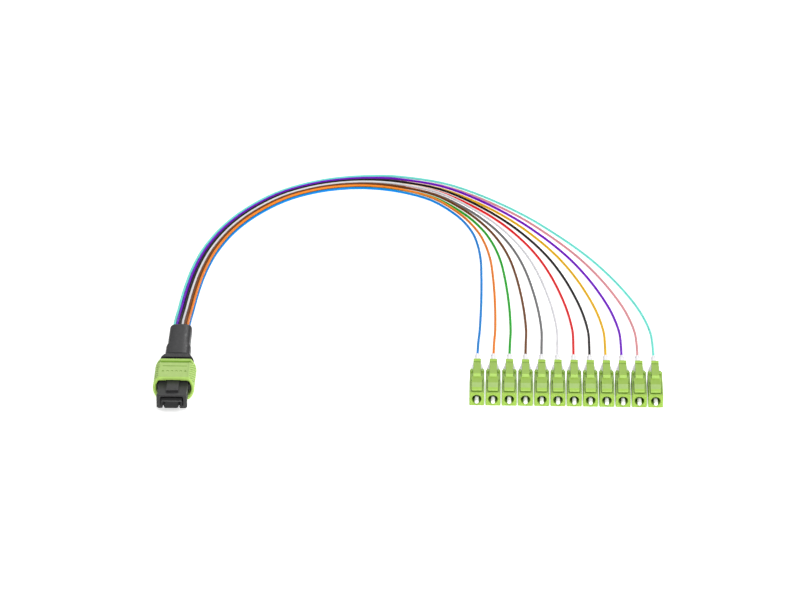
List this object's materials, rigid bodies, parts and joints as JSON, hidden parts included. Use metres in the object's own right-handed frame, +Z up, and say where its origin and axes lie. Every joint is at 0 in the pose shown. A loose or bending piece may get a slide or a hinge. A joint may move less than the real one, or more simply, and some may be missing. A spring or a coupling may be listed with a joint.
{
  "type": "fibre breakout cable",
  "caption": "Fibre breakout cable: a multi-fibre push-pull plug with guide pins whose bare coloured fibres fan out in an arc to a row of small green latch plugs.",
  "frame": {"origin": "middle of the box round all the connectors, on the floor that the cable lies on", "axes": "+X from the twelve-fibre plug to the row of single plugs, +Y from the plugs' faces back towards the arc of fibres, +Z up"},
  "size_m": [0.1554, 0.156, 0.0078],
  "materials": {
    "sleeve": "satin moulded, with a fine sparked texture",
    "housing_black": "satin moulded black",
    "mpo_ferrule": "smooth moulded black resin",
    "guide_pin": "polished steel",
    "rear_black": "satin moulded black",
    "mpo_boot": "soft black, slightly shiny",
    "lc_green": "satin moulded lime green",
    "lc_ferrule": "polished white ceramic",
    "lc_boot": "soft white, satin",
    "fibre_blue": "smooth extruded buffer",
    "fibre_orange": "smooth extruded buffer",
    "fibre_green": "smooth extruded buffer",
    "fibre_brown": "smooth extruded buffer",
    "fibre_slate": "smooth extruded buffer",
    "fibre_white": "smooth extruded buffer",
    "fibre_red": "smooth extruded buffer",
    "fibre_black": "smooth extruded buffer",
    "fibre_yellow": "smooth extruded buffer",
    "fibre_violet": "smooth extruded buffer",
    "fibre_rose": "smooth extruded buffer",
    "fibre_aqua": "smooth extruded buffer"
  },
  "bodies": {
    "cable": {"mpo_inner_housing": "housing_black", "mpo_rear_body": "rear_black", "mpo_boot": "mpo_boot", "lc_housing_01": "lc_green", "lc_housing_02": "lc_green", "lc_housing_03": "lc_green", "lc_housing_04": "lc_green", "lc_housing_05": "lc_green", "lc_housing_06": "lc_green", "lc_housing_07": "lc_green", "lc_housing_08": "lc_green", "lc_housing_09": "lc_green", "lc_housing_10": "lc_green", "lc_housing_11": "lc_green", "lc_housing_12": "lc_green", "lc_boot_01": "lc_boot", "lc_boot_02": "lc_boot", "lc_boot_03": "lc_boot", "lc_boot_04": "lc_boot", "lc_boot_05": "lc_boot", "lc_boot_06": "lc_boot", "lc_boot_07": "lc_boot", "lc_boot_08": "lc_boot", "lc_boot_09": "lc_boot", "lc_boot_10": "lc_boot", "lc_boot_11": "lc_boot", "lc_boot_12": "lc_boot", "fibre_01_blue": "fibre_blue", "fibre_02_orange": "fibre_orange", "fibre_03_green": "fibre_green", "fibre_04_brown": "fibre_brown", "fibre_05_slate": "fibre_slate", "fibre_06_white": "fibre_white", "fibre_07_red": "fibre_red", "fibre_08_black": "fibre_black", "fibre_09_yellow": "fibre_yellow", "fibre_10_violet": "fibre_violet", "fibre_11_rose": "fibre_rose", "fibre_12_aqua": "fibre_aqua"},
    "coupling_sleeve": {"mpo_coupling_sleeve": "sleeve"},
    "mpo_ferrule_set": {"mpo_ferrule": "mpo_ferrule", "guide_pin_left": "guide_pin", "guide_pin_right": "guide_pin"},
    "lc_ferrule_01_set": {"lc_ferrule_01": "lc_ferrule"},
    "lc_ferrule_02_set": {"lc_ferrule_02": "lc_ferrule"},
    "lc_ferrule_03_set": {"lc_ferrule_03": "lc_ferrule"},
    "lc_ferrule_04_set": {"lc_ferrule_04": "lc_ferrule"},
    "lc_ferrule_05_set": {"lc_ferrule_05": "lc_ferrule"},
    "lc_ferrule_06_set": {"lc_ferrule_06": "lc_ferrule"},
    "lc_ferrule_07_set": {"lc_ferrule_07": "lc_ferrule"},
    "lc_ferrule_08_set": {"lc_ferrule_08": "lc_ferrule"},
    "lc_ferrule_09_set": {"lc_ferrule_09": "lc_ferrule"},
    "lc_ferrule_10_set": {"lc_ferrule_10": "lc_ferrule"},
    "lc_ferrule_11_set": {"lc_ferrule_11": "lc_ferrule"},
    "lc_ferrule_12_set": {"lc_ferrule_12": "lc_ferrule"}
  },
  "joints": [
    {"name": "sleeve_slide", "type": "slide", "parent": "cable", "child": "coupling_sleeve", "axis": [0, 1, 0], "range_m": [0, 0.0022], "stiffness_N_per_m": 400, "springref_m": -0.001},
    {"name": "mpo_ferrule_slide", "type": "slide", "parent": "cable", "child": "mpo_ferrule_set", "axis": [0, 1, 0], "range_m": [0, 0.0008], "stiffness_N_per_m": 800, "springref_m": -0.001},
    {"name": "lc_ferrule_slide_01", "type": "slide", "parent": "cable", "child": "lc_ferrule_01_set", "axis": [0, 1, 0], "range_m": [0, 0.0006], "stiffness_N_per_m": 800, "springref_m": -0.001},
    {"name": "lc_ferrule_slide_02", "type": "slide", "parent": "cable", "child": "lc_ferrule_02_set", "axis": [0, 1, 0], "range_m": [0, 0.0006], "stiffness_N_per_m": 800, "springref_m": -0.001},
    {"name": "lc_ferrule_slide_03", "type": "slide", "parent": "cable", "child": "lc_ferrule_03_set", "axis": [0, 1, 0], "range_m": [0, 0.0006], "stiffness_N_per_m": 800, "springref_m": -0.001},
    {"name": "lc_ferrule_slide_04", "type": "slide", "parent": "cable", "child": "lc_ferrule_04_set", "axis": [0, 1, 0], "range_m": [0, 0.0006], "stiffness_N_per_m": 800, "springref_m": -0.001},
    {"name": "lc_ferrule_slide_05", "type": "slide", "parent": "cable", "child": "lc_ferrule_05_set", "axis": [0, 1, 0], "range_m": [0, 0.0006], "stiffness_N_per_m": 800, "springref_m": -0.001},
    {"name": "lc_ferrule_slide_06", "type": "slide", "parent": "cable", "child": "lc_ferrule_06_set", "axis": [0, 1, 0], "range_m": [0, 0.0006], "stiffness_N_per_m": 800, "springref_m": -0.001},
    {"name": "lc_ferrule_slide_07", "type": "slide", "parent": "cable", "child": "lc_ferrule_07_set", "axis": [0, 1, 0], "range_m": [0, 0.0006], "stiffness_N_per_m": 800, "springref_m": -0.001},
    {"name": "lc_ferrule_slide_08", "type": "slide", "parent": "cable", "child": "lc_ferrule_08_set", "axis": [0, 1, 0], "range_m": [0, 0.0006], "stiffness_N_per_m": 800, "springref_m": -0.001},
    {"name": "lc_ferrule_slide_09", "type": "slide", "parent": "cable", "child": "lc_ferrule_09_set", "axis": [0, 1, 0], "range_m": [0, 0.0006], "stiffness_N_per_m": 800, "springref_m": -0.001},
    {"name": "lc_ferrule_slide_10", "type": "slide", "parent": "cable", "child": "lc_ferrule_10_set", "axis": [0, 1, 0], "range_m": [0, 0.0006], "stiffness_N_per_m": 800, "springref_m": -0.001},
    {"name": "lc_ferrule_slide_11", "type": "slide", "parent": "cable", "child": "lc_ferrule_11_set", "axis": [0, 1, 0], "range_m": [0, 0.0006], "stiffness_N_per_m": 800, "springref_m": -0.001},
    {"name": "lc_ferrule_slide_12", "type": "slide", "parent": "cable", "child": "lc_ferrule_12_set", "axis": [0, 1, 0], "range_m": [0, 0.0006], "stiffness_N_per_m": 800, "springref_m": -0.001}
  ]
}
